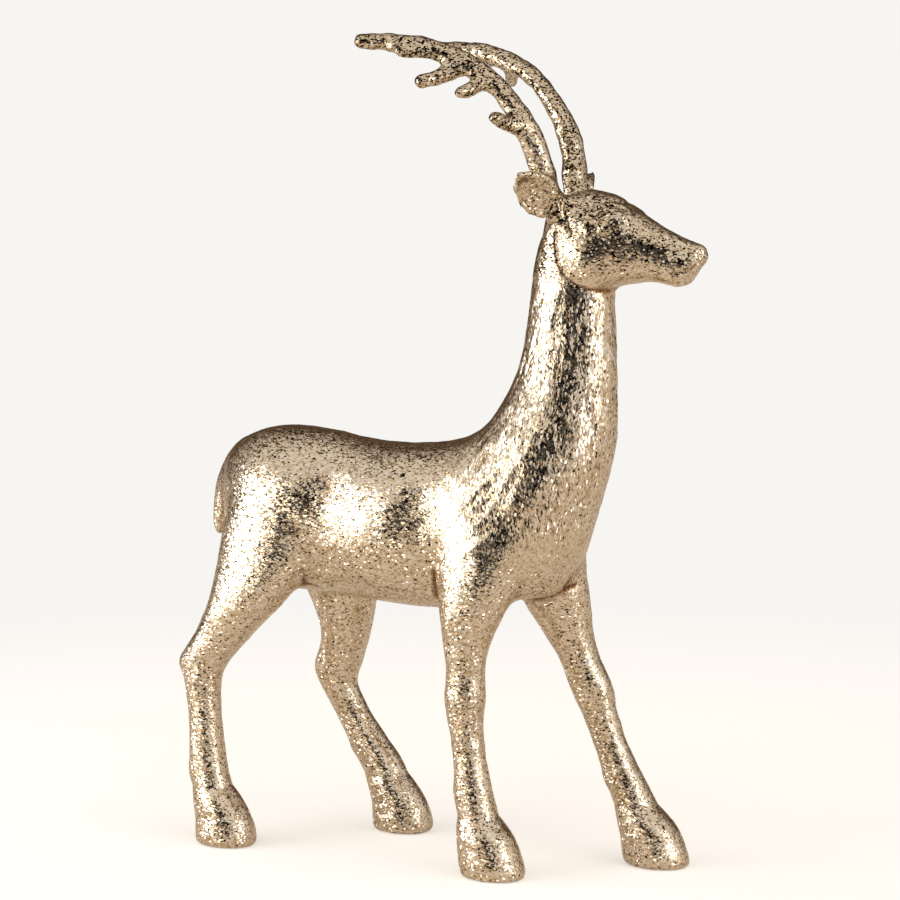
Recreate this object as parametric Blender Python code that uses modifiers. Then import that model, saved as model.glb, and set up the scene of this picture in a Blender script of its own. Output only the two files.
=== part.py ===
# Standing deer figurine, cast in one piece and coated in glitter.
# Metres, +Z up. The deer faces +X, its left side is +Y, and its soles rest on Z = 0.

import math

import bmesh
import bpy
from mathutils import Matrix, Vector

# Driving sizes. The pose and outlines below are in units of a 455th of the height.
FIGURE_HEIGHT = 0.455
UNIT = FIGURE_HEIGHT / 455
HIND_HIP_SIDE = 17
HIND_HOOF_SIDE = 38
FORE_HIP_SIDE = 18
FORE_HOOF_SIDE = 33
LEG_BOW = 1.8  # 1 is a straight line from hip to hoof; more keeps the leg out for longer
SOLE_OVERRUN = 2
SOLE_SHARE = 0.85  # the hoof narrows below the floor, which rounds the edge of its sole

# How the surface is made from the forms.
CAST_GRAIN = 1.25
FACES_KEPT = 9300
RING_SIDES = 28
STEPS_BETWEEN = 5
TRUNK_FULLNESS = 2.25
LIMB_FULLNESS = 2.2
JOIN_FACTOR = 0.6
JOIN_ROUNDS = 40
OVERALL_FACTOR = 0.5
OVERALL_ROUNDS = 3

FINISH_COLOUR = (0.60, 0.45, 0.29, 1.0)
FINISH_METALLIC = 0.85
FINISH_ROUGHNESS = 0.42

# Side outlines: top (x, z), bottom (x, z) and half width.
TRUNK = [
    (-145, 206, -145, 190, 5),  # rump
    (-139, 224, -139, 170, 16),
    (-126, 233, -126, 156, 27),
    (-106, 238, -106, 146, 34),  # haunch
    (-80, 237, -80, 143, 34),
    (-56, 233, -56, 142, 32),  # waist
    (-26, 231, -26, 140, 37),  # ribs
    (8, 235, 8, 140, 34),
    (38, 248, 34, 145, 34),  # withers
    (58, 243, 52, 149, 31),
    (75, 228, 66, 159, 22),  # chest
    (86, 204, 79, 179, 7),
]
HEAD = [
    (60, 353, 60, 336, 7),  # nape
    (65, 363, 65, 327, 15),
    (80, 371, 80, 319, 19),
    (98, 369, 95, 318, 19),  # brow and jaw
    (114, 359, 110, 321, 15),
    (132, 349, 123, 322, 11),
    (147, 343, 135, 319, 10),  # muzzle
    (152, 339, 141, 321, 8),
    (153, 334, 144, 325, 4),
]

# The neck, from inside the chest up: height, middle x, half depth and half width.
NECK = [
    (150, 44, 20, 20),
    (170, 46, 33, 31),
    (196, 49, 39, 34),
    (228, 56, 42, 31),
    (250, 65, 35, 26),
    (270, 71, 29, 22),
    (300, 74, 25, 19),
    (330, 75, 22.5, 17),
    (346, 78, 21, 15),
    (356, 81, 14, 10),
]

# Leg sections from hip to sole: half depth square to the bone, and half width.
HIND_SECTIONS = [
    (20, 10),
    (29, 15),  # thigh
    (28, 16),  # stifle
    (20, 16),
    (14.5, 13),
    (14.5, 11),  # hock
    (11, 10),
    (10, 9),  # cannon
    (12, 10),  # fetlock
    (12, 11),
    (16.5, 13),
    (18.5, 15),  # sole
]
FORE_SECTIONS = [
    (20, 9),
    (29, 14),  # shoulder
    (25, 16),
    (19, 16),  # elbow
    (13.5, 12),
    (11, 10),
    (12, 10),  # knee
    (10, 9),
    (9.5, 8.5),  # cannon
    (11, 10),  # fetlock
    (11.5, 11),
    (16, 13.5),
    (18.5, 15),  # sole
]

# Where each leg section lies: height and x.
RIGHT_HIND_PATH = [
    (217, -101),
    (190, -102),
    (160, -106),
    (138, -116),
    (120, -129),
    (103, -142),
    (92, -142),
    (68, -139),
    (40, -136),
    (30, -132),
    (16, -126),
    (2, -124),
]
LEFT_HIND_PATH = [
    (216, -99),
    (190, -95),
    (158, -88),
    (134, -85),
    (114, -85),
    (94, -92),
    (84, -92),
    (64, -81),
    (44, -68),
    (32, -61),
    (16, -53),
    (2, -51),
]
RIGHT_FORE_PATH = [
    (219, 42),
    (196, 38),
    (168, 32),
    (145, 28),
    (126, 25),
    (111, 25),
    (97, 25),
    (82, 26),
    (64, 29),
    (44, 32),
    (32, 35),
    (20, 40),
    (2, 44),
]
LEFT_FORE_PATH = [
    (218, 46),
    (194, 45),
    (168, 46),
    (145, 53),
    (126, 60),
    (111, 67),
    (97, 73),
    (82, 78),
    (64, 85),
    (44, 94),
    (32, 100),
    (20, 107),
    (2, 112),
]

# Tubes: x, y, z and radius. The antler is the left one; the right one mirrors it.
TAIL = [
    (-124, 0, 229, 5),
    (-136, 0, 221, 6.5),
    (-145, 0, 206, 7),
    (-149, 0, 190, 6.5),
    (-151, 0, 177, 5),
    (-151, 0, 171, 3),
]
ANTLER = [
    (75, 12, 355, 7),
    (68, 16, 369, 7),
    (65, 21, 386, 7),
    (59, 25, 403, 7),
    (47, 28, 421, 6),
    (32, 32, 435, 6),
    (6, 37, 446, 6),
    (-16, 42, 449, 5.5),
    (-34, 45, 450, 5),
]

# Tines: share of the right and the left antler where they leave it, reach and radius.
TINES = [
    (0.38, 0.46, (-10, 20, 6), 4.6),
    (0.58, 0.68, (-10, 16, -9), 4.6),
    (0.66, 0.74, (-21, 16, -10), 5),
    (0.73, 0.80, (-18, 12, 0), 4),
]
TINE_ROOT = 1.25  # root radius as a share of the tine's radius
TINE_POINT = 0.5
TINE_SAG = 0.08

# Balls pressed into the left side of the head: centre and half sizes.
CHEEK = ((89, 9, 336), (17, 12, 17))
BROW = ((102, 9, 355), (11, 8.5, 6.5))
EYE = ((102, 15, 350), (4.4, 3.6, 3.6))

# The left ear. Its outline is share of the length, share of the half width.
EAR_ROOT = (73, 17, 359)
EAR_TIP = (64, 46, 379)
EAR_FACING = (0.70, 0.55, -0.40)
EAR_HALF_WIDTH = 12
EAR_HALF_THICKNESS = 3.6
EAR_TIP_THINNING = 0.55
EAR_BOW = 2.2
EAR_OUTLINE = [(0, 0.45), (0.2, 0.8), (0.45, 1), (0.7, 0.85), (0.9, 0.45), (1, 0.1)]
HOLLOW_MIDDLE = 0.52
HOLLOW_SHARES = (0.40, 0.74)
HOLLOW_DEPTH = 2.6
HOLLOW_PROUD = 0.4

# Where forms meet, the surface is smoothed: centre, radius and strength.
BLENDS = [
    ((-90, -20, 153), 46, 1.0),
    ((-80, 20, 153), 46, 1.0),
    ((-110, 0, 205), 52, 1.0),
    ((30, -20, 163), 46, 1.0),
    ((50, 20, 163), 46, 1.0),
    ((45, 0, 225), 60, 1.0),
    ((20, 0, 240), 40, 1.0),
    ((75, 0, 204), 50, 1.0),
    ((79, 0, 326), 20, 0.8),
    ((72, 0, 360), 18, 0.5),
]


def scaled(x, y, z):
    return Vector((x, y, z)) * UNIT


def mirrored(point):
    x, y, z = point
    return (x, -y, z)


def in_between(stations, steps=STEPS_BETWEEN):
    """Stations on a smooth curve through the given ones, with this many steps between two."""
    run = []
    last = len(stations) - 1
    for i in range(last):
        before = stations[max(i - 1, 0)]
        start = stations[i]
        end = stations[i + 1]
        after = stations[min(i + 2, last)]
        for step in range(steps):
            t = step / steps
            station = []
            for p0, p1, p2, p3 in zip(before, start, end, after):
                bend = (2 * p0 - 5 * p1 + 4 * p2 - p3) * t**2
                twist = (3 * p1 - p0 - 3 * p2 + p3) * t**3
                station.append(0.5 * (2 * p1 + (p2 - p0) * t + bend + twist))
            run.append(tuple(station))
    run.append(tuple(stations[last]))
    return run


def ring(centre, reach, side, fullness):
    """Points round an oval; fullness 2 is an ellipse and more is squarer."""
    points = []
    for i in range(RING_SIDES):
        turn = 2 * math.pi * i / RING_SIDES
        across = math.copysign(abs(math.cos(turn)) ** (2 / fullness), math.cos(turn))
        along = math.copysign(abs(math.sin(turn)) ** (2 / fullness), math.sin(turn))
        points.append(centre + reach * across + side * along)
    return points


def add_loft(form, rings):
    """Adds a closed skin over the rings, each with the same number of points."""
    rows = [[form.verts.new(point) for point in points] for points in rings]
    count = len(rows[0])
    for lower, upper in zip(rows, rows[1:]):
        for i in range(count):
            j = (i + 1) % count
            form.faces.new((lower[i], lower[j], upper[j], upper[i]))
    form.faces.new(list(reversed(rows[0])))
    form.faces.new(rows[-1])


def add_profile(form, stations, fullness):
    """The trunk or the head: rings across its side outline."""
    rings = []
    for top_x, top_z, bottom_x, bottom_z, half in in_between(stations):
        top = scaled(top_x, 0, top_z)
        bottom = scaled(bottom_x, 0, bottom_z)
        side = scaled(0, half, 0)
        rings.append(ring((top + bottom) / 2, (top - bottom) / 2, side, fullness))
    add_loft(form, rings)


def add_column(form, stations, fullness):
    """The neck or a leg: level rings from (height, x, half depth, y, half width)."""
    rings = []
    for z, x, half_depth, y, half_width in in_between(stations):
        reach = scaled(half_depth, 0, 0)
        side = scaled(0, half_width, 0)
        rings.append(ring(scaled(x, y, z), reach, side, fullness))
    add_loft(form, rings)


def leg_stations(path, sections, hip_side, hoof_side):
    """A level ring through a leaning bone is longer than a section square to it."""
    hip_height = path[0][0]
    last = len(path) - 1
    stations = []
    for i, (z, x) in enumerate(path):
        upper_z, upper_x = path[max(i - 1, 0)]
        lower_z, lower_x = path[min(i + 1, last)]
        lean = math.atan2(upper_x - lower_x, upper_z - lower_z)
        half_depth, half_width = sections[i]
        y = hoof_side - (hoof_side - hip_side) * (z / hip_height) ** LEG_BOW
        stations.append((z, x, half_depth / math.cos(lean), y, half_width))
    _, x, half_depth, y, half_width = stations[-1]
    stations.append((-SOLE_OVERRUN, x, half_depth * SOLE_SHARE, y, half_width * SOLE_SHARE))
    return stations


def add_legs(form):
    for path, side in ((RIGHT_HIND_PATH, -1), (LEFT_HIND_PATH, 1)):
        stations = leg_stations(
            path, HIND_SECTIONS, side * HIND_HIP_SIDE, side * HIND_HOOF_SIDE
        )
        add_column(form, stations, LIMB_FULLNESS)
    for path, side in ((RIGHT_FORE_PATH, -1), (LEFT_FORE_PATH, 1)):
        stations = leg_stations(
            path, FORE_SECTIONS, side * FORE_HIP_SIDE, side * FORE_HOOF_SIDE
        )
        add_column(form, stations, LIMB_FULLNESS)


def add_tube(form, points):
    """A tapering round tube along a smooth curve through the points."""
    run = in_between(points)
    curve = bpy.data.curves.new("tube", "CURVE")
    curve.dimensions = "3D"
    curve.bevel_depth = UNIT
    curve.bevel_resolution = 4
    curve.use_fill_caps = True
    spline = curve.splines.new("POLY")
    spline.points.add(len(run) - 1)
    for point, (x, y, z, radius) in zip(spline.points, run):
        point.co = (*scaled(x, y, z), 1)
        point.radius = radius
    guide = bpy.data.objects.new("tube", curve)
    bpy.context.scene.collection.objects.link(guide)
    graph = bpy.context.evaluated_depsgraph_get()
    mesh = bpy.data.meshes.new_from_object(guide.evaluated_get(graph))
    tube = bmesh.new()
    tube.from_mesh(mesh)
    bmesh.ops.remove_doubles(tube, verts=tube.verts, dist=0.00001)
    tube.to_mesh(mesh)
    tube.free()
    form.from_mesh(mesh)
    bpy.data.objects.remove(guide, do_unlink=True)
    bpy.data.curves.remove(curve)
    bpy.data.meshes.remove(mesh)


def add_tine(form, beam, share, reach, radius):
    """A tine that leaves the beam, sags a little and ends in a blunt point."""
    run = in_between(beam)
    x, y, z, _ = run[round(share * (len(run) - 1))]
    root = Vector((x, y, z))
    reach = Vector(reach)
    middle = root + reach / 2 - Vector((0, 0, TINE_SAG * reach.length))
    tip = root + reach
    end = tip + (tip - middle).normalized() * radius * TINE_POINT
    add_tube(
        form,
        [
            (*root, radius * TINE_ROOT),
            (*middle, radius),
            (*tip, radius),
            (*end, radius * TINE_POINT),
        ],
    )


def add_antlers(form):
    right = [(*mirrored((x, y, z)), radius) for x, y, z, radius in ANTLER]
    add_tube(form, ANTLER)
    add_tube(form, right)
    for right_share, left_share, reach, radius in TINES:
        add_tine(form, ANTLER, left_share, reach, radius)
        add_tine(form, right, right_share, mirrored(reach), radius)


def add_ball(form, centre, halves):
    matrix = Matrix.Translation(scaled(*centre)) @ Matrix.Diagonal((*scaled(*halves), 1))
    bmesh.ops.create_uvsphere(
        form, u_segments=RING_SIDES, v_segments=RING_SIDES // 2, radius=1, matrix=matrix
    )


def ear_axes(root, tip, facing):
    """Length, width and thickness directions of an ear."""
    length = (Vector(tip) - Vector(root)).normalized()
    width = length.cross(Vector(facing)).normalized()
    return length, width, width.cross(length).normalized()


def add_ear(form, root, tip, facing):
    length, width, thick = ear_axes(root, tip, facing)
    span = (Vector(tip) - Vector(root)).length
    rings = []
    for along, wide in in_between(EAR_OUTLINE):
        bow = thick * EAR_BOW * math.sin(math.pi * along)
        centre = Vector(root) + length * span * along - bow
        deep = EAR_HALF_THICKNESS * (1 - EAR_TIP_THINNING * along)
        reach = width * EAR_HALF_WIDTH * wide * UNIT
        rings.append(ring(centre * UNIT, reach, thick * deep * UNIT, 2))
    add_loft(form, rings)


def build_forms(form):
    add_profile(form, TRUNK, TRUNK_FULLNESS)
    add_profile(form, HEAD, LIMB_FULLNESS)
    neck = [(z, x, half_depth, 0, half_width) for z, x, half_depth, half_width in NECK]
    add_column(form, neck, 2)
    add_legs(form)
    add_tube(form, TAIL)
    add_antlers(form)
    for centre, halves in (CHEEK, BROW, EYE):
        add_ball(form, centre, halves)
        add_ball(form, mirrored(centre), halves)
    add_ear(form, EAR_ROOT, EAR_TIP, EAR_FACING)
    add_ear(form, mirrored(EAR_ROOT), mirrored(EAR_TIP), mirrored(EAR_FACING))


def to_object(form, name, collection):
    mesh = bpy.data.meshes.new(name)
    bmesh.ops.recalc_face_normals(form, faces=form.faces)
    form.to_mesh(mesh)
    form.free()
    obj = bpy.data.objects.new(name, mesh)
    collection.objects.link(obj)
    return obj


def bake_modifiers(obj):
    """Turns what the modifiers make into the object's own mesh."""
    bpy.context.view_layer.update()
    graph = bpy.context.evaluated_depsgraph_get()
    baked = bpy.data.meshes.new_from_object(obj.evaluated_get(graph))
    old = obj.data
    obj.modifiers.clear()
    obj.data = baked
    bpy.data.meshes.remove(old)
    baked.name = obj.name


def blend_weight(point):
    """How strongly the surface is smoothed at a point: full to half the radius, then fading."""
    weight = 0.0
    for centre, radius, strength in BLENDS:
        near = 1 - (point - scaled(*centre)).length / (radius * UNIT)
        weight = max(weight, strength * min(1.0, max(0.0, near * 2)))
    return weight


def smooth_joins(deer):
    group = deer.vertex_groups.new(name="joins")
    for vertex in deer.data.vertices:
        weight = blend_weight(vertex.co)
        if weight > 0:
            group.add([vertex.index], weight, "REPLACE")
    joins = deer.modifiers.new("Joins", "SMOOTH")
    joins.vertex_group = group.name
    joins.factor = JOIN_FACTOR
    joins.iterations = JOIN_ROUNDS
    overall = deer.modifiers.new("Overall", "SMOOTH")
    overall.factor = OVERALL_FACTOR
    overall.iterations = OVERALL_ROUNDS
    bake_modifiers(deer)


def as_cutter(form, name, collection):
    cutter = to_object(form, name, collection)
    cutter.hide_render = True
    cutter.display_type = "WIRE"
    return cutter


def ear_cutter(name, root, tip, facing, collection):
    """A flattened egg that scoops the hollow out of an ear."""
    length, width, thick = ear_axes(root, tip, facing)
    span = (Vector(tip) - Vector(root)).length
    along, across = HOLLOW_SHARES
    proud = thick * (EAR_HALF_THICKNESS - HOLLOW_PROUD)
    centre = Vector(root) + length * span * HOLLOW_MIDDLE + proud
    turn = Matrix((length, width, thick)).transposed().to_4x4()
    halves = Vector((span * along, EAR_HALF_WIDTH * across, HOLLOW_DEPTH)) * UNIT
    form = bmesh.new()
    bmesh.ops.create_uvsphere(form, u_segments=20, v_segments=12, radius=1)
    form.transform(Matrix.Translation(centre * UNIT) @ turn @ Matrix.Diagonal((*halves, 1)))
    return as_cutter(form, name, collection)


def floor_cutter(collection):
    """A slab whose top is the floor; it cuts the soles flat."""
    form = bmesh.new()
    bmesh.ops.create_cube(form, size=1)
    size = FIGURE_HEIGHT * 2
    depth = SOLE_OVERRUN * 10 * UNIT
    form.transform(
        Matrix.Translation((0, 0, -depth / 2)) @ Matrix.Diagonal((size, size, depth, 1))
    )
    return as_cutter(form, "floor_slab", collection)


def cut(deer, cutter):
    boolean = deer.modifiers.new("Cut " + cutter.name, "BOOLEAN")
    boolean.operation = "DIFFERENCE"
    boolean.object = cutter
    boolean.solver = "EXACT"


def cut_ears(deer, cutters):
    left = ear_cutter("left_ear_hollow", EAR_ROOT, EAR_TIP, EAR_FACING, cutters)
    right = ear_cutter(
        "right_ear_hollow",
        mirrored(EAR_ROOT),
        mirrored(EAR_TIP),
        mirrored(EAR_FACING),
        cutters,
    )
    cut(deer, left)
    cut(deer, right)
    bake_modifiers(deer)


def thin_out(deer):
    deer.data.calc_loop_triangles()
    thin = deer.modifiers.new("Thin out", "DECIMATE")
    thin.ratio = FACES_KEPT / len(deer.data.loop_triangles)
    bake_modifiers(deer)


def centre_on_origin(deer):
    """Moves the mesh so that the middle of its plan is over the origin."""
    xs = [vertex.co.x for vertex in deer.data.vertices]
    ys = [vertex.co.y for vertex in deer.data.vertices]
    shift = Vector((-(min(xs) + max(xs)) / 2, -(min(ys) + max(ys)) / 2, 0))
    deer.data.transform(Matrix.Translation(shift))


def glitter_finish():
    material = bpy.data.materials.new("champagne_glitter")
    material.use_nodes = True
    shader = material.node_tree.nodes["Principled BSDF"]
    shader.inputs["Base Color"].default_value = FINISH_COLOUR
    shader.inputs["Metallic"].default_value = FINISH_METALLIC
    shader.inputs["Roughness"].default_value = FINISH_ROUGHNESS
    return material


def main():
    for obj in list(bpy.data.objects):
        bpy.data.objects.remove(obj, do_unlink=True)
    figure = bpy.data.collections.new("glitter_deer")
    cutters = bpy.data.collections.new("cutters")
    bpy.context.scene.collection.children.link(figure)
    bpy.context.scene.collection.children.link(cutters)

    form = bmesh.new()
    build_forms(form)
    deer = to_object(form, "deer", figure)
    remesh = deer.modifiers.new("Cast", "REMESH")
    remesh.mode = "VOXEL"
    remesh.voxel_size = CAST_GRAIN * UNIT
    bake_modifiers(deer)
    smooth_joins(deer)
    cut_ears(deer, cutters)
    thin_out(deer)
    centre_on_origin(deer)
    cut(deer, floor_cutter(cutters))
    deer.data.shade_smooth()
    deer.data.materials.clear()
    deer.data.materials.append(glitter_finish())


main()
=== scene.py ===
import math

import bmesh
import bpy
import numpy as np
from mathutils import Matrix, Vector, noise
from mathutils.bvhtree import BVHTree


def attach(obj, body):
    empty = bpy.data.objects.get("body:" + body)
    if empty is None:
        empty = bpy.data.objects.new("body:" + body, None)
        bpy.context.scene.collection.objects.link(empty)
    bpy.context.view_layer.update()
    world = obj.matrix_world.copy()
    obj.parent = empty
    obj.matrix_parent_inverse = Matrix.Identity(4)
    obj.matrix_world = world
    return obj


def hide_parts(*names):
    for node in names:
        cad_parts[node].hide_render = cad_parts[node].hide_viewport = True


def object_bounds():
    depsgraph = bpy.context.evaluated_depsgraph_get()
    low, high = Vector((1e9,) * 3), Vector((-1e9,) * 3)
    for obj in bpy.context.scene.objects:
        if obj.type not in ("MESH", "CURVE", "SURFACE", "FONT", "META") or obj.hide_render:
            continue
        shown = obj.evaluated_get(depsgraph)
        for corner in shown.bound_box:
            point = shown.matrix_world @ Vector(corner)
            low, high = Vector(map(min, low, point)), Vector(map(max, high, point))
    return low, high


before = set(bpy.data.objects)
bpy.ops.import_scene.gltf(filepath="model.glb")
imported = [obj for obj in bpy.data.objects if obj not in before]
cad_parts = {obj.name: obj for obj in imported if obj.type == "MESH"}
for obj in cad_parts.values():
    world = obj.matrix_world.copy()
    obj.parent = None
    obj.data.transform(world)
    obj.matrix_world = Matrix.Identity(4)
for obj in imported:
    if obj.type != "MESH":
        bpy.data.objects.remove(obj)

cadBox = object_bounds()
low, high = [np.array(corner) for corner in cadBox]
millimetre = 0.001
print("frame loaded")


def linearColour(hexCode):
    # sRGB hex to the linear values that shaders take
    channels = [int(hexCode[i : i + 2], 16) / 255 for i in (1, 3, 5)]
    return [c / 12.92 if c <= 0.04045 else ((c + 0.055) / 1.055) ** 2.4 for c in channels] + [1.0]


def addNode(tree, kind, settings=None, links=None):
    # a node with its settings; a link is a value or another node's output socket
    node = tree.nodes.new(kind)
    for name, value in (settings or {}).items():
        setattr(node, name, value)
    for name, value in (links or {}).items():
        if isinstance(value, bpy.types.NodeSocket):
            tree.links.new(value, node.inputs[name])
        else:
            node.inputs[name].default_value = value
    return node


def setRamp(node, stops):
    ramp = node.color_ramp
    while len(ramp.elements) < len(stops):
        ramp.elements.new(0.5)
    for element, (place, hexCode) in zip(ramp.elements, stops):
        element.position = place
        element.color = linearColour(hexCode)


# the skin: the moulded body under the glitter
skin = {
    "mergeDistance": 0.01 * millimetre,
    "grain": 1.7 * millimetre,  # spacing of its points
    "smoothing": 14,
    "earSmoothing": 0.35,  # share of the smoothing that the thin ears get
    "headRounds": 3,
    "earRounds": 2,  # evens the rims after carving
    "lumpHeight": 0.3 * millimetre,  # hand-laid unevenness
    "lumpSpacing": 9 * millimetre,
    "pimpleHeight": 0.16 * millimetre,  # crumbs of glue under the foil
    "pimpleSpacing": 3.6 * millimetre,
    "creaseRounds": 16,  # smoothing rounds that the surface is measured against
    "creaseFull": 0.42 * millimetre,  # how deep below them the painted crease shade is full
    "creaseStart": 0.15,  # shallower than this share of it gets no painted shade
}
headRegion = {"low": 320 * millimetre, "high": 374 * millimetre, "behind": 64 * millimetre}
earRegion = {
    "low": 345 * millimetre,
    "high": 400 * millimetre,
    "before": 85 * millimetre,
    "outwards": 21.5 * millimetre,
}

# carving, in millimetres from the middle of the CAD box and the floor
middleY = -2.0  # the middle of the body, because the stance is wider on the right
cheekStart = 2  # the face lines stay this far off the middle of the face
cheekFade = 2
cheekLow = 305  # and above this height
bumpSteepness = 1.2
legTop = 60
soleHeight = 2
grooves = [
    # lines drawn on both sides of the head: points as x and height, half width, depth
    ([(153, 331), (145, 328), (138, 327)], 0.9, 0.8),  # mouth
    ([(75, 348), (75, 340), (76, 333), (80, 326), (86, 321), (93, 318), (100, 317)], 1.0, 0.75),  # cheek
    ([(97, 350), (100, 347), (105, 346), (110, 349)], 0.9, 0.5),  # lower lid
    ([(84, 350), (81, 358), (78, 366)], 1.5, 1.0),  # front of the ear root
]
headBumps = [
    # the same way: place, radius, height
    ((104, 351), 3.2, 0.9),  # eyeball
    ((111, 356), 4.2, 0.9),  # front of the brow
    ((94, 352), 4.2, 0.7),  # back of the brow
    ((153, 338), 2.2, -1.0),  # nostril
]
folds = [
    # creases where limbs meet the body: points, half width, depth
    ([(9, -34, 164), (8, -30, 156), (6, -24, 149)], 1.6, 1.3),  # right elbow
    ([(48, 4, 145), (58, 7, 150), (67, 8, 152), (73, 15, 155)], 1.6, 1.3),  # chest and left leg
    ([(44, 30, 160), (42, 24, 150)], 1.8, 0.8),  # left elbow
    ([(-76, -32, 160), (-78, -23, 151), (-71, -19, 148)], 2.0, 0.7),  # right thigh
]
bumps = [
    # centre on the left side, radius, height; the right side mirrors them
    ((-90, 36, 198), 28, 2.4),  # haunch
    ((-60, 34, 208), 16, -1.6),  # flank, behind the ribs
    ((-39, 36, 177), 30, 2.3),  # ribs
    ((3, 36, 200), 16, -1.3),  # behind the shoulder
    ((28, 36, 192), 22, 1.6),  # shoulder
    ((112, 14, 349), 12, 0.9),  # over the flat of the cheek
    ((110, 13, 328), 12, 0.9),  # and under it
    ((130, 11, 345), 9, 0.5),
    ((130, 10, 325), 9, 0.5),
    ((152, 3, 341), 5, 0.7),  # upper lip
    ((145, 3, 321), 5, 0.9),  # chin
]
browRings = {
    "centre": (104, 351),
    "nearest": 5.0,
    "nearestFade": 1.5,
    "farthest": 15.5,
    "farthestFade": 3,
    "spacing": 2.7,
    "depth": 0.42,
    "overSteepness": 1.6,  # they lie over the eye and fade out beside it
    "overStart": 0.2,
}
earForm = {
    "root": (76, 17, 359),
    "tip": (67, 46, 379),
    "facing": (0.70, 0.55, -0.40),
    "midline": 2.0,  # how far behind and below the line from root to tip
    "halfWidth": 10.5,
    "outlineStart": 0.14,  # the width follows part of a half sine
    "outlineShare": 0.78,
    "alongFrom": 0.05,  # shares of the length that are carved
    "alongTo": 1.15,
    "farthest": 1.3,
    "frontFade": 1.5,
    "rimHeight": 0.6,
    "rimWidth": 1.5,
    "hollowDepth": 2.6,
    "hollowShare": 0.7,  # of the ear's half width
    "hollowEnds": 1.6,
}
legBumps = [
    # centre, radius, height: knees, hocks and fetlocks
    ((30, -33, 100), 9, 0.7),
    ((80, 24, 102), 9, 0.9),
    ((-148, -39, 44), 5, 1.0),
    ((-78, 33, 46), 5, 1.0),
    ((24, -35, 46), 5, 1.0),
    ((86, 27, 46), 5, 1.0),
]
hoofTop = {
    "height": 33,
    "halfWidth": 1.8,
    "depth": 0.4,
    "swellHeight": 24,
    "swellReach": 7,
    "swell": 0.5,
}
coatStrokes = {
    # hair drawn down the neck, chest and shoulder
    "across": 4.2,
    "along": 26,
    "depth": 0.55,
    "low": 165,
    "lowFade": 25,
    "high": 326,
    "highFade": 15,
    "from": 12,
    "fromFade": 18,
    "least": 0.01,
    "shoulder": (15, 220),  # x and height where the slant is fullest
    "slant": 1.0,
    "slantLoss": 0.011,  # for each millimetre forward
    "leastSlant": 0.25,
}
antlerKnobs = {"spacing": 6.5, "height": 0.6, "from": 378}


def makeSkin():
    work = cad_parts["deer"].data.copy()
    form = bmesh.new()
    form.from_mesh(work)
    bmesh.ops.remove_doubles(form, verts=form.verts, dist=skin["mergeDistance"])
    form.to_mesh(work)
    surface = BVHTree.FromBMesh(form)
    form.free()
    piece = bpy.data.objects.new("deer_skin", work)
    bpy.context.scene.collection.objects.link(piece)
    remesh = piece.modifiers.new("grain", "REMESH")
    remesh.mode = "VOXEL"
    remesh.voxel_size = skin["grain"]
    bpy.context.view_layer.update()
    graph = bpy.context.evaluated_depsgraph_get()
    mesh = bpy.data.meshes.new_from_object(piece.evaluated_get(graph))
    piece.modifiers.clear()
    piece.data = mesh
    mesh.name = "deer_skin"
    points = readPoints(mesh)
    weight = np.where(isEar(points), skin["earSmoothing"], 1.0)
    points = smoothed(mesh, points, skin["smoothing"], weight)
    writePoints(mesh, settledEars(points, surface))
    refineHead(mesh)
    writePoints(mesh, settledEars(readPoints(mesh), surface))
    return piece


def settledEars(points, surface):
    # smoothing blunts the thin ears, so their points go back to the CAD surface
    for index in np.nonzero(isEar(points))[0]:
        points[index] = surface.find_nearest(Vector(points[index]))[0]
    return points


def refineHead(mesh):
    # the face and ears carry finer carving, so their edges are halved
    form = bmesh.new()
    form.from_mesh(mesh)
    fine = [edge for edge in form.edges if all(isHead(vert.co) for vert in edge.verts)]
    bmesh.ops.subdivide_edges(form, edges=fine, cuts=1, use_grid_fill=True)
    form.to_mesh(mesh)
    form.free()
    points = readPoints(mesh)
    head = np.array([isHead(point) for point in points])
    weight = np.where(head, np.where(isEar(points), skin["earSmoothing"], 1.0), 0.0)
    writePoints(mesh, smoothed(mesh, points, skin["headRounds"], weight))


def isHead(place):
    return headRegion["low"] < place[2] < headRegion["high"] and place[0] > headRegion["behind"]


def isEar(points):
    outwards = np.abs(points[:, 1] - middleY * millimetre) > earRegion["outwards"]
    level = (points[:, 2] > earRegion["low"]) & (points[:, 2] < earRegion["high"])
    return outwards & level & (points[:, 0] < earRegion["before"])


def readPoints(mesh):
    flat = np.empty(len(mesh.vertices) * 3, dtype=np.float64)
    mesh.vertices.foreach_get("co", flat)
    return flat.reshape(-1, 3)


def readNormals(mesh):
    flat = np.empty(len(mesh.vertices) * 3, dtype=np.float64)
    mesh.vertices.foreach_get("normal", flat)
    return flat.reshape(-1, 3)


def writePoints(mesh, points):
    mesh.vertices.foreach_set("co", points.astype(np.float32).ravel())
    mesh.update()


def smoothed(mesh, points, rounds, weight):
    # moves each point up to half way to the middle of its neighbours
    edges = np.empty(len(mesh.edges) * 2, dtype=np.int64)
    mesh.edges.foreach_get("vertices", edges)
    a, b = edges.reshape(-1, 2).T
    count = np.maximum(np.bincount(np.concatenate([a, b]), minlength=len(points)), 1)[:, None]
    share = np.broadcast_to(weight, len(points))[:, None] / 2
    for _ in range(rounds):
        total = np.zeros_like(points)
        for axis in range(3):
            total[:, axis] += np.bincount(a, points[b, axis], len(points))
            total[:, axis] += np.bincount(b, points[a, axis], len(points))
        points = points + share * (total / count - points)
    return points


def lineDistance(points, line):
    nearest = np.full(len(points), 1e9)
    for start, end in zip(line, line[1:]):
        span = end - start
        along = np.clip((points - start) @ span / (span @ span), 0, 1)
        nearest = np.minimum(nearest, np.linalg.norm(points - start - along[:, None] * span, axis=1))
    return nearest


def bothSides(place):
    return [np.array(place) * (1, side, 1) + (0, middleY, 0) for side in (1, -1)]


def bell(away):
    return np.exp(-(away**2))


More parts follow.
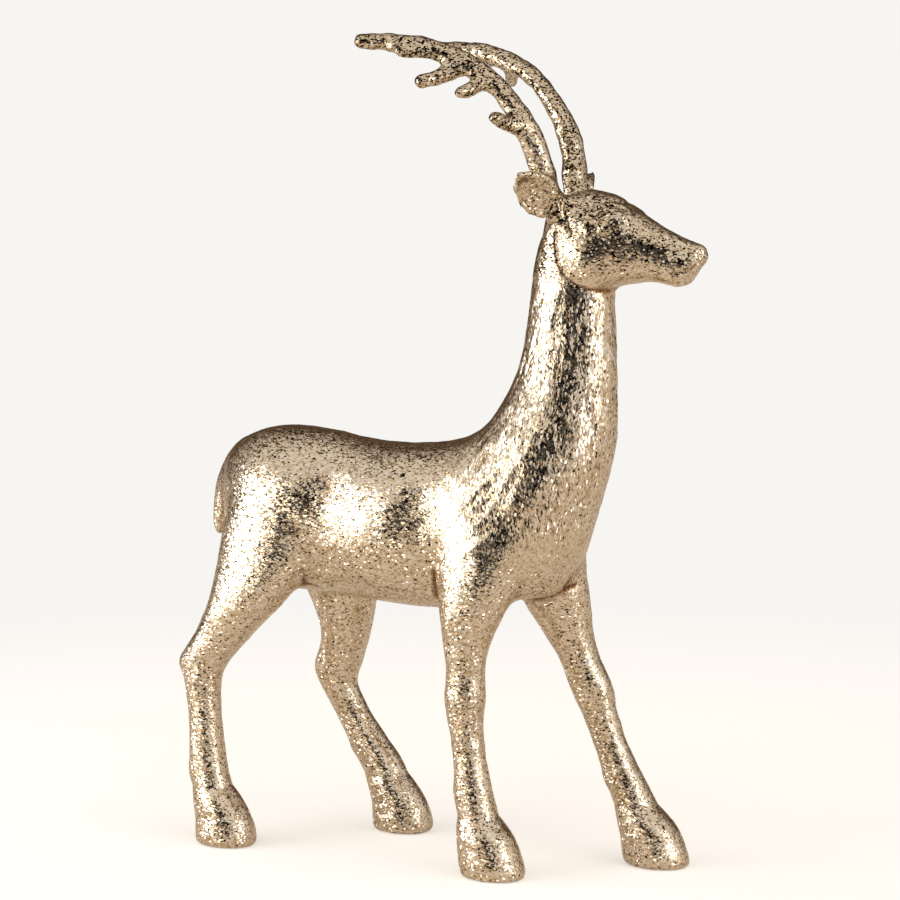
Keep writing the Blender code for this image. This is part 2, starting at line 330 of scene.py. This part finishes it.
def earLift(points, side):
    # a raised rim, and a bowl in the side of the ear that faces forward
    root, tip = [np.array(earForm[name]) * (1, side, 1) + (0, middleY, 0) for name in ("root", "tip")]
    facing = np.array(earForm["facing"]) * (1, side, 1)
    span = tip - root
    length = np.linalg.norm(span)
    span = span / length
    facing = facing - span * (facing @ span)
    facing /= np.linalg.norm(facing)
    across = np.cross(span, facing) * side
    local = points - root
    along = local @ span / length
    wide = local @ across - earForm["midline"]
    near = np.linalg.norm(local, axis=1) < length * earForm["farthest"]
    ear = (along > earForm["alongFrom"]) & (along < earForm["alongTo"]) & near
    front = ear * np.clip(local @ facing / earForm["frontFade"] + 1, 0, 1)
    outline = np.clip(earForm["outlineStart"] + earForm["outlineShare"] * along, 0, 1)
    edge = earForm["halfWidth"] * np.sin(math.pi * outline)
    rim = bell((np.abs(wide) - edge + earForm["rimWidth"]) / earForm["rimWidth"])
    pocket = wide / np.maximum(edge * earForm["hollowShare"], 1)
    ends = np.sin(math.pi * np.clip(along, 0, 1))
    hollow = bell(pocket**2) * np.clip(earForm["hollowEnds"] * ends, 0, 1)
    return ear * earForm["rimHeight"] * rim - front * earForm["hollowDepth"] * hollow


def carve(mesh):
    points = readPoints(mesh) / millimetre
    normals = readNormals(mesh)
    lift = np.zeros(len(points))
    cheeks = np.clip((np.abs(points[:, 1] - middleY) - cheekStart) / cheekFade, 0, 1)
    cheeks = cheeks * (points[:, 2] > cheekLow)
    flat = points[:, [0, 2]]
    for line, halfWidth, depth in grooves:
        lift -= cheeks * depth * bell(lineDistance(flat, np.array(line, dtype=float)) / halfWidth)
    for centre, radius, height in headBumps:
        away = np.linalg.norm(flat - np.array(centre), axis=1)
        lift += cheeks * height * bell(bumpSteepness * away / radius)
    for line, halfWidth, depth in folds:
        lift -= depth * bell(lineDistance(points, np.array(line, dtype=float)) / halfWidth)
    for centre, radius, height in bumps:
        for place in bothSides(centre):
            away = np.linalg.norm(points - place, axis=1)
            lift += height * bell(bumpSteepness * away / radius)
    for centre, radius, height in legBumps:
        lift += height * bell(np.linalg.norm(points - np.array(centre), axis=1) / radius)
    local = flat - np.array(browRings["centre"])
    away = np.linalg.norm(local, axis=1)
    within = np.clip((away - browRings["nearest"]) / browRings["nearestFade"], 0, 1)
    within = within * np.clip((browRings["farthest"] - away) / browRings["farthestFade"], 0, 1)
    rise = local[:, 1] / np.maximum(away, 1)
    over = np.clip(rise * browRings["overSteepness"] - browRings["overStart"], 0, 1)
    waves = np.cos(2 * math.pi * away / browRings["spacing"])
    lift -= cheeks * browRings["depth"] * within * over * waves
    lift += earLift(points, 1) + earLift(points, -1)
    legs = points[:, 2] < legTop
    lift -= legs * hoofTop["depth"] * bell((points[:, 2] - hoofTop["height"]) / hoofTop["halfWidth"])
    lift += legs * hoofTop["swell"] * bell((points[:, 2] - hoofTop["swellHeight"]) / hoofTop["swellReach"])

    # hair: the strokes slant at the shoulder and run nearly upright on the neck
    drawn = strokeShare(points)
    shoulderX, shoulderZ = coatStrokes["shoulder"]
    slant = coatStrokes["slant"] - coatStrokes["slantLoss"] * (points[:, 0] - shoulderX)
    slope = np.clip(slant, coatStrokes["leastSlant"], coatStrokes["slant"])
    shifted = points[:, 0] - slope * (points[:, 2] - shoulderZ)
    across, along = coatStrokes["across"], coatStrokes["along"]
    for index in np.nonzero(drawn > coatStrokes["least"])[0]:
        place = Vector((shifted[index] / across, points[index, 1] / across, points[index, 2] / along))
        lift[index] += coatStrokes["depth"] * drawn[index] * noise.noise(place)
    for index in np.nonzero(points[:, 2] > antlerKnobs["from"])[0]:
        lift[index] += antlerKnobs["height"] * noise.noise(Vector(points[index] / antlerKnobs["spacing"]))
    for name in ("lump", "pimple"):
        spacing = skin[name + "Spacing"] / millimetre
        lumps = np.array([noise.noise(Vector(point / spacing)) for point in points])
        lift += skin[name + "Height"] / millimetre * lumps
    lift[points[:, 2] < soleHeight] = 0  # the soles stay flat
    points = (points + normals * lift[:, None]) * millimetre
    points = smoothed(mesh, points, skin["earRounds"], isEar(points) * 1.0)
    writePoints(mesh, np.clip(points, low, high))


def strokeShare(points):
    # 1 on the neck, chest and shoulder, fading out around them
    rising = np.clip((points[:, 2] - coatStrokes["low"]) / coatStrokes["lowFade"], 0, 1)
    ending = np.clip((coatStrokes["high"] - points[:, 2]) / coatStrokes["highFade"], 0, 1)
    return rising * ending * np.clip((points[:, 0] - coatStrokes["from"]) / coatStrokes["fromFade"], 0, 1)


def markCreases(mesh):
    # how hollow the surface is, for the painted shade that darkens creases and hollows brown
    points = readPoints(mesh)
    soft = smoothed(mesh, points, skin["creaseRounds"], 1.0)
    hollow = ((soft - points) * readNormals(mesh)).sum(1) / skin["creaseFull"]
    attribute = mesh.attributes.new("crease_shade", "FLOAT", "POINT")
    attribute.data.foreach_set("value", np.clip(hollow - skin["creaseStart"], 0, 1).astype(np.float32))
    attribute = mesh.attributes.new("strokes", "FLOAT", "POINT")
    attribute.data.foreach_set("value", strokeShare(points / millimetre).astype(np.float32))

    # painted dark reflections: more near-black specks on upward faces and up on the head and antlers,
    # fewer on the ears
    top = np.clip(readNormals(mesh)[:, 2] * glitterCoat["topSteepness"] - glitterCoat["topStart"], 0, 1)
    start, full = glitterCoat["speckShadeHeights"]
    speckShade = np.maximum(top, np.clip((points[:, 2] - start) / (full - start), 0, 1))
    speckShade[isEar(points)] *= glitterCoat["earSpeckShade"]
    attribute = mesh.attributes.new("speckShade", "FLOAT", "POINT")
    attribute.data.foreach_set("value", speckShade.astype(np.float32))


# champagne glitter: fine foil flakes glued over a crinkled coat; each one mirrors its own bit
# of the room, for a tan ground and cream highlights; near-black specks are partly mirrored and partly
# painted dark reflections
glitterCoat = {
    "flake": 0.77 * millimetre,
    "crinkle": 0.95 * millimetre,
    "crinkleDepth": 0.1 * millimetre,
    "flakeShape": (0.62, 1.0, 1.0),  # flakes lie lengthways along the body
    "flakeTurn": (0.0, 0.35, 0.0),  # radians
    "hairShape": (1.0, 1.0, 0.45),  # and upright on the neck and chest
    "hairTurn": (0.0, -0.25, 0.0),
    "tilt": 0.26,  # how far most flakes lean
    "strayTilt": 1.0,  # how far the few stray ones lean
    "strayRarity": 9,  # a power of a random share: higher is rarer
    "crinkleDetail": 3.0,
    "cluster": 2.4 * millimetre,  # spacing of the clusters of painted dark specks
    "clusterContrast": 6,
    "speckDarkening": 0.12,  # how much darker the painted dark specks make the flakes
    "speckShadeGain": 2.4,  # and how much more on upward faces and high up
    "speckShadeHeights": (316 * millimetre, 365 * millimetre),  # the painted specks grow from the first height to the second
    "topSteepness": 1.5,
    "topStart": 0.6,
    "earSpeckShade": 0.25,
    "tones": [
        # the two darkest stops paint near-black flakes as dark reflections
        (0.0, "#0f0a07"),
        (0.004, "#2a1d14"),
        (0.02, "#b0946f"),
        (0.3, "#dac8ab"),
        (0.9, "#f4eadb"),
    ],
    # painted shade for creases and hollows
    "creaseShadeTone": "#a08062",
    "roughness": 0.13,
}


def addFoil(tree, place, shape, turn):
    # one lie of the foil: a colour for each flake and the height of the crinkles
    laid = addNode(tree, "ShaderNodeMapping", links={"Vector": place, "Rotation": turn, "Scale": shape})
    laid = laid.outputs["Vector"]
    cells = addNode(
        tree,
        "ShaderNodeTexVoronoi",
        {"feature": "F1"},
        {"Vector": laid, "Scale": 1 / glitterCoat["flake"]},
    )
    crinkles = addNode(
        tree,
        "ShaderNodeTexNoise",
        links={
            "Vector": laid,
            "Scale": 1 / glitterCoat["crinkle"],
            "Detail": glitterCoat["crinkleDetail"],
        },
    )
    return cells.outputs["Color"], crinkles.outputs["Fac"]


def makeCoatMaterial():
    material = bpy.data.materials.new("champagne_glitter_coat")
    material.use_nodes = True
    tree = material.node_tree
    shader = tree.nodes["Principled BSDF"]
    shader.inputs["Metallic"].default_value = 1.0
    shader.inputs["Roughness"].default_value = glitterCoat["roughness"]
    place = addNode(tree, "ShaderNodeTexCoord").outputs["Object"]
    flatCells, flatHeight = addFoil(tree, place, glitterCoat["flakeShape"], glitterCoat["flakeTurn"])
    hairCells, hairHeight = addFoil(tree, place, glitterCoat["hairShape"], glitterCoat["hairTurn"])
    hair = addNode(tree, "ShaderNodeAttribute", {"attribute_name": "strokes"}).outputs["Fac"]
    cellMix = addNode(tree, "ShaderNodeMix", {"data_type": "RGBA"})
    heightMix = addNode(tree, "ShaderNodeMix", {"data_type": "FLOAT"})
    for mix, sockets, first, second in (
        (cellMix, (6, 7), flatCells, hairCells),
        (heightMix, (2, 3), flatHeight, hairHeight),
    ):
        tree.links.new(hair, mix.inputs[0])
        tree.links.new(first, mix.inputs[sockets[0]])
        tree.links.new(second, mix.inputs[sockets[1]])
    cells = cellMix.outputs[2]
    split = addNode(tree, "ShaderNodeSeparateColor", links={"Color": cells})

    # painted dark reflections: near-black specks come in clusters, with more of them on upward faces and
    # high up
    speckShade = addNode(tree, "ShaderNodeAttribute", {"attribute_name": "speckShade"}).outputs["Fac"]
    clusters = addNode(
        tree, "ShaderNodeTexNoise", links={"Vector": place, "Scale": 1 / glitterCoat["cluster"]}
    )
    contrast = addNode(tree, "ShaderNodeMath", {"operation": "MULTIPLY_ADD"})
    tree.links.new(clusters.outputs["Fac"], contrast.inputs[0])
    contrast.inputs[1].default_value = glitterCoat["clusterContrast"]
    contrast.inputs[2].default_value = -glitterCoat["clusterContrast"] / 2
    speckAmount = addNode(tree, "ShaderNodeMath", {"operation": "MULTIPLY_ADD"})
    tree.links.new(speckShade, speckAmount.inputs[0])
    speckAmount.inputs[1].default_value = glitterCoat["speckShadeGain"]
    tree.links.new(contrast.outputs[0], speckAmount.inputs[2])
    speckDark = addNode(tree, "ShaderNodeMath", {"operation": "MULTIPLY"})
    tree.links.new(speckAmount.outputs[0], speckDark.inputs[0])
    speckDark.inputs[1].default_value = glitterCoat["speckDarkening"]
    level = addNode(tree, "ShaderNodeMath", {"operation": "SUBTRACT"})
    tree.links.new(split.outputs["Red"], level.inputs[0])
    tree.links.new(speckDark.outputs[0], level.inputs[1])
    tones = addNode(tree, "ShaderNodeValToRGB", links={"Fac": level.outputs[0]})
    setRamp(tones, glitterCoat["tones"])
    # painted shade: the base colour is multiplied brown where the surface is hollow
    crease_shade = addNode(tree, "ShaderNodeAttribute", {"attribute_name": "crease_shade"}).outputs["Fac"]
    shadedTones = addNode(tree, "ShaderNodeMix", {"data_type": "RGBA", "blend_type": "MULTIPLY"})
    tree.links.new(crease_shade, shadedTones.inputs[0])
    tree.links.new(tones.outputs["Color"], shadedTones.inputs[6])
    shadedTones.inputs[7].default_value = linearColour(glitterCoat["creaseShadeTone"])
    tree.links.new(shadedTones.outputs[2], shader.inputs["Base Color"])
    bump = addNode(
        tree,
        "ShaderNodeBump",
        links={"Height": heightMix.outputs[0], "Distance": glitterCoat["crinkleDepth"], "Strength": 1.0},
    )

    # each flake leans its own way
    lean = addNode(tree, "ShaderNodeVectorMath", {"operation": "SUBTRACT"})
    tree.links.new(cells, lean.inputs[0])
    lean.inputs[1].default_value = (0.5, 0.5, 0.5)
    rare = addNode(tree, "ShaderNodeMath", {"operation": "POWER"})
    tree.links.new(split.outputs["Blue"], rare.inputs[0])
    rare.inputs[1].default_value = glitterCoat["strayRarity"]
    amount = addNode(tree, "ShaderNodeMath", {"operation": "MULTIPLY_ADD"})
    tree.links.new(rare.outputs[0], amount.inputs[0])
    amount.inputs[1].default_value = glitterCoat["strayTilt"]
    amount.inputs[2].default_value = glitterCoat["tilt"]
    tilt = addNode(tree, "ShaderNodeVectorMath", {"operation": "SCALE"}, {"Scale": amount.outputs[0]})
    tree.links.new(lean.outputs[0], tilt.inputs[0])
    total = addNode(tree, "ShaderNodeVectorMath", {"operation": "ADD"})
    tree.links.new(bump.outputs["Normal"], total.inputs[0])
    tree.links.new(tilt.outputs[0], total.inputs[1])
    unit = addNode(tree, "ShaderNodeVectorMath", {"operation": "NORMALIZE"})
    tree.links.new(total.outputs[0], unit.inputs[0])
    tree.links.new(unit.outputs[0], shader.inputs["Normal"])
    return material


# loose foil flakes that stand proud of the coat
looseFlakes = {
    "width": 0.8 * millimetre,
    "height": 0.04 * millimetre,
    "perSquareMetre": 150000,
    "lean": 0.12,
    "smallest": 0.45,
    "largest": 1.1,
    "toneSeed": 7,
    "firstSeed": 3,
    "tones": [(0.0, "#8f7552"), (0.3, "#cdb592"), (1.0, "#eee0c8")],
    "roughness": 0.28,
    "bands": {
        # heights in metres
        "leg_flakes": (0.002, 0.15),
        "body_flakes": (0.15, 0.31),
        "head_flakes": (0.31, 0.5),
    },
}


def makeFlakeMaterial():
    # cut metallised film: flat bright facets
    material = bpy.data.materials.new("metallised_film_flakes")
    material.use_nodes = True
    tree = material.node_tree
    shader = tree.nodes["Principled BSDF"]
    shader.inputs["Metallic"].default_value = 1.0
    shader.inputs["Roughness"].default_value = looseFlakes["roughness"]
    tone = addNode(tree, "ShaderNodeAttribute", {"attribute_name": "flakeTone"}).outputs["Fac"]
    ramp = addNode(tree, "ShaderNodeValToRGB", links={"Fac": tone})
    setRamp(ramp, looseFlakes["tones"])
    tree.links.new(ramp.outputs["Color"], shader.inputs["Base Color"])
    return material


def makeFlakeTree(material):
    tree = bpy.data.node_groups.new("scatterFlakes", "GeometryNodeTree")
    face = tree.interface
    face.new_socket("Geometry", in_out="INPUT", socket_type="NodeSocketGeometry")
    for name in ("Lowest", "Highest", "Density", "Width", "Height"):
        face.new_socket(name, in_out="INPUT", socket_type="NodeSocketFloat")
    face.new_socket("Seed", in_out="INPUT", socket_type="NodeSocketInt")
    face.new_socket("Geometry", in_out="OUTPUT", socket_type="NodeSocketGeometry")
    given = addNode(tree, "NodeGroupInput").outputs
    place = addNode(tree, "GeometryNodeInputPosition").outputs[0]
    height = addNode(tree, "ShaderNodeSeparateXYZ", links={"Vector": place}).outputs["Z"]
    above = addNode(tree, "FunctionNodeCompare", {"operation": "GREATER_EQUAL"})
    tree.links.new(height, above.inputs[0])
    tree.links.new(given["Lowest"], above.inputs[1])
    below = addNode(tree, "FunctionNodeCompare", {"operation": "LESS_THAN"})
    tree.links.new(height, below.inputs[0])
    tree.links.new(given["Highest"], below.inputs[1])
    inside = addNode(tree, "FunctionNodeBooleanMath", {"operation": "AND"})
    tree.links.new(above.outputs[0], inside.inputs[0])
    tree.links.new(below.outputs[0], inside.inputs[1])
    spread = addNode(
        tree,
        "GeometryNodeDistributePointsOnFaces",
        links={
            "Mesh": given["Geometry"],
            "Selection": inside.outputs[0],
            "Density": given["Density"],
            "Seed": given["Seed"],
        },
    )
    # a flake is a low three-sided point with four faces
    flake = addNode(
        tree,
        "GeometryNodeMeshCone",
        links={
            "Vertices": 3,
            "Radius Top": 0.0,
            "Radius Bottom": given["Width"],
            "Depth": given["Height"],
        },
    )
    lean = looseFlakes["lean"]
    turn = addNode(
        tree,
        "FunctionNodeRandomValue",
        {"data_type": "FLOAT_VECTOR"},
        {"Min": (-lean, -lean, 0.0), "Max": (lean, lean, 2 * math.pi), "Seed": given["Seed"]},
    )
    euler = addNode(tree, "FunctionNodeEulerToRotation", links={"Euler": turn.outputs[0]})
    rotate = addNode(tree, "FunctionNodeRotateRotation", {"rotation_space": "LOCAL"})
    tree.links.new(spread.outputs["Rotation"], rotate.inputs[0])
    tree.links.new(euler.outputs[0], rotate.inputs[1])
    size = addNode(tree, "FunctionNodeRandomValue", {"data_type": "FLOAT"})
    size.inputs[2].default_value = looseFlakes["smallest"]
    size.inputs[3].default_value = looseFlakes["largest"]
    placed = addNode(
        tree,
        "GeometryNodeInstanceOnPoints",
        links={
            "Points": spread.outputs["Points"],
            "Instance": flake.outputs["Mesh"],
            "Rotation": rotate.outputs[0],
            "Scale": size.outputs[1],
        },
    )
    tone = addNode(tree, "FunctionNodeRandomValue", {"data_type": "FLOAT"})
    tone.inputs["Seed"].default_value = looseFlakes["toneSeed"]
    named = addNode(
        tree,
        "GeometryNodeStoreNamedAttribute",
        {"data_type": "FLOAT", "domain": "INSTANCE"},
        {"Geometry": placed.outputs["Instances"], "Name": "flakeTone"},
    )
    tree.links.new(tone.outputs[1], named.inputs["Value"])
    real = addNode(tree, "GeometryNodeRealizeInstances", links={"Geometry": named.outputs["Geometry"]})
    coated = addNode(
        tree,
        "GeometryNodeSetMaterial",
        links={"Geometry": real.outputs["Geometry"], "Material": material},
    )
    tree.links.new(coated.outputs["Geometry"], addNode(tree, "NodeGroupOutput").inputs[0])
    return tree


def scatterFlakes(base, tree, name, band, seed):
    holder = bpy.data.objects.new(name, base.data.copy())
    bpy.context.scene.collection.objects.link(holder)
    scatter = holder.modifiers.new("flakes", "NODES")
    scatter.node_group = tree
    values = {
        "Lowest": band[0],
        "Highest": band[1],
        "Density": looseFlakes["perSquareMetre"],
        "Width": looseFlakes["width"] / 2,
        "Height": looseFlakes["height"],
        "Seed": seed,
    }
    for item in tree.interface.items_tree:
        if item.in_out == "INPUT" and item.name in values:
            value = values[item.name]
            scatter[item.identifier] = value if item.name == "Seed" else float(value)
    bpy.context.view_layer.update()
    graph = bpy.context.evaluated_depsgraph_get()
    mesh = bpy.data.meshes.new_from_object(holder.evaluated_get(graph))
    holder.modifiers.clear()
    holder.data = mesh
    mesh.name = name
    writePoints(mesh, np.clip(readPoints(mesh), low, high))
    return holder


coat = makeCoatMaterial()
deerSkin = makeSkin()
carve(deerSkin.data)
markCreases(deerSkin.data)
deerSkin.data.materials.clear()
deerSkin.data.materials.append(coat)
deerSkin.data.shade_smooth()
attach(deerSkin, "root")
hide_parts("deer")
print("skin made:", len(deerSkin.data.polygons), "faces")

film = makeFlakeMaterial()
flakeTree = makeFlakeTree(film)
for seed, (bandName, band) in enumerate(looseFlakes["bands"].items(), looseFlakes["firstSeed"]):
    flakes = scatterFlakes(deerSkin, flakeTree, bandName, band, seed)
    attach(flakes, "root")
    print(bandName, "made:", len(flakes.data.polygons), "faces")

# the studio: a pale floor, a tan room that is browner behind the deer and dark where the
# camera stands, and a soft box each side
studio = {
    "floorSize": 30.0,
    "paleTone": "#f7f5f2",
    "floorGlow": 0.45,  # near the deer; further out the floor is as pale as the backdrop
    "floorFade": (0.3, 1.0),
    "mirroredFloorTone": "#e6d9c8",  # what the underside of the deer mirrors
    "mirroredFloorGlow": 0.1,
    "floorEdge": (0.95, 1.0),  # past this the mirrored floor is dark, towards the camera
    "floorRoughness": 0.8,
    "frontTone": "#e9e1d8",
    "backTone": "#675543",
    "backFade": (0.0, 0.75),
    "darkTone": "#020202",
    "darkAzimuth": 5,
    "darkRise": 0.08,
    "darkFade": (0.908, 0.948),
    "plainTone": "#ffffff",
    "lightAim": (0, 0, 0.2),
    "lights": [
        # name, place, width, height, watts
        ("left_box", (-0.9, -0.82, 0.33), 1.0, 0.62, 5.6),
        ("right_box", (1.9, -0.5, 0.6), 1.1, 1.1, 6),
    ],
}
cameraSetup = {
    "azimuth": 28,
    "distance": 1.43,
    "height": 0.3652,
    "pitch": 84.51,
    "lens": 104,
    "sensor": 36,
    "aim": (0.0027, -0.0021),
}


def makeCamera():
    turn = math.radians(cameraSetup["azimuth"])
    aimX, aimY = cameraSetup["aim"]
    data = bpy.data.cameras.new("camera")
    data.lens = cameraSetup["lens"]
    data.sensor_width = cameraSetup["sensor"]
    camera = bpy.data.objects.new("camera", data)
    bpy.context.scene.collection.objects.link(camera)
    camera.location = (
        aimX + cameraSetup["distance"] * math.sin(turn),
        aimY - cameraSetup["distance"] * math.cos(turn),
        cameraSetup["height"],
    )
    camera.rotation_euler = (math.radians(cameraSetup["pitch"]), 0, turn)
    bpy.context.scene.camera = camera


def makeFloor():
    mesh = bpy.data.meshes.new("floor")
    form = bmesh.new()
    bmesh.ops.create_grid(form, x_segments=1, y_segments=1, size=studio["floorSize"] / 2)
    form.to_mesh(mesh)
    form.free()
    floor = bpy.data.objects.new("floor", mesh)
    bpy.context.scene.collection.objects.link(floor)
    # matt paint, without any gloss
    material = bpy.data.materials.new("painted_floor")
    material.use_nodes = True
    tree = material.node_tree
    shader = tree.nodes["Principled BSDF"]
    shader.inputs["Roughness"].default_value = studio["floorRoughness"]
    shader.inputs["Specular IOR Level"].default_value = 0
    shader.inputs["Emission Color"].default_value = linearColour(studio["paleTone"])
    place = addNode(tree, "ShaderNodeTexCoord").outputs["Object"]
    away = addNode(tree, "ShaderNodeVectorMath", {"operation": "LENGTH"})
    tree.links.new(place, away.inputs[0])
    far = addNode(
        tree,
        "ShaderNodeMapRange",
        {"interpolation_type": "SMOOTHSTEP"},
        {"Value": away.outputs["Value"]},
    )
    far.inputs["From Min"].default_value, far.inputs["From Max"].default_value = studio["floorFade"]
    seen = addNode(tree, "ShaderNodeLightPath").outputs["Is Camera Ray"]
    turn = math.radians(studio["darkAzimuth"])
    forward = addNode(tree, "ShaderNodeVectorMath", {"operation": "DOT_PRODUCT"})
    tree.links.new(place, forward.inputs[0])
    forward.inputs[1].default_value = (math.sin(turn), -math.cos(turn), 0)
    edge = addNode(tree, "ShaderNodeValToRGB", links={"Fac": forward.outputs["Value"]})
    setRamp(edge, list(zip(studio["floorEdge"], (studio["mirroredFloorTone"], studio["darkTone"]))))
    near = addNode(tree, "ShaderNodeMix", {"data_type": "RGBA"})
    tree.links.new(seen, near.inputs[0])
    tree.links.new(edge.outputs["Color"], near.inputs[6])
    near.inputs[7].default_value = linearColour(studio["paleTone"])
    fade = addNode(tree, "ShaderNodeMath", {"operation": "MULTIPLY"})
    tree.links.new(far.outputs["Result"], fade.inputs[0])
    tree.links.new(seen, fade.inputs[1])
    ground = addNode(tree, "ShaderNodeMix", {"data_type": "RGBA"})
    tree.links.new(fade.outputs[0], ground.inputs[0])
    tree.links.new(near.outputs[2], ground.inputs[6])
    ground.inputs[7].default_value = (0, 0, 0, 1)
    tree.links.new(ground.outputs[2], shader.inputs["Base Color"])
    glow = addNode(
        tree,
        "ShaderNodeMapRange",
        links={"Value": far.outputs["Result"], "To Min": studio["floorGlow"]},
    )
    shown = addNode(tree, "ShaderNodeMix", {"data_type": "FLOAT"})
    tree.links.new(seen, shown.inputs[0])
    shown.inputs[2].default_value = studio["mirroredFloorGlow"]
    tree.links.new(glow.outputs["Result"], shown.inputs[3])
    tree.links.new(shown.outputs[0], shader.inputs["Emission Strength"])
    mesh.materials.append(material)


def makeRoom():
    world = bpy.data.worlds.new("room")
    world.use_nodes = True
    bpy.context.scene.world = world
    tree = world.node_tree
    background = tree.nodes["Background"]
    way = addNode(tree, "ShaderNodeTexCoord").outputs["Generated"]

    def facing(azimuth, rise, sign, stops):
        # a tone that depends on the angle between the way looked and a fixed way
        turn = math.radians(azimuth)
        fixed = Vector((math.sin(turn), -math.cos(turn), rise)).normalized() * sign
        product = addNode(tree, "ShaderNodeVectorMath", {"operation": "DOT_PRODUCT"})
        tree.links.new(way, product.inputs[0])
        product.inputs[1].default_value = fixed
        ramp = addNode(tree, "ShaderNodeValToRGB", links={"Fac": product.outputs["Value"]})
        setRamp(ramp, stops)
        return ramp.outputs["Color"]

    wallStops = list(zip(studio["backFade"], (studio["frontTone"], studio["backTone"])))
    room = facing(cameraSetup["azimuth"], 0.0, -1, wallStops)
    darkStops = list(zip(studio["darkFade"], (studio["plainTone"], studio["darkTone"])))
    dark = facing(studio["darkAzimuth"], studio["darkRise"], 1, darkStops)
    shade = addNode(tree, "ShaderNodeMix", {"data_type": "RGBA", "blend_type": "MULTIPLY"})
    shade.inputs[0].default_value = 1.0
    tree.links.new(room, shade.inputs[6])
    tree.links.new(dark, shade.inputs[7])
    path = addNode(tree, "ShaderNodeLightPath").outputs["Is Camera Ray"]
    mix = addNode(tree, "ShaderNodeMix", {"data_type": "RGBA"})
    tree.links.new(path, mix.inputs[0])
    tree.links.new(shade.outputs[2], mix.inputs[6])
    mix.inputs[7].default_value = linearColour(studio["paleTone"])
    tree.links.new(mix.outputs[2], background.inputs["Color"])
    bpy.context.scene.view_settings.view_transform = "Standard"


def makeLights():
    for name, place, width, tall, watts in studio["lights"]:
        data = bpy.data.lights.new(name, "AREA")
        data.shape = "RECTANGLE"
        data.energy = watts
        data.size = width
        data.size_y = tall
        light = bpy.data.objects.new(name, data)
        bpy.context.scene.collection.objects.link(light)
        light.location = place
        light.visible_camera = False
        aim = Vector(studio["lightAim"]) - Vector(place)
        light.rotation_euler = aim.to_track_quat("-Z", "Y").to_euler()


makeCamera()
makeFloor()
makeRoom()
makeLights()
print("studio made")
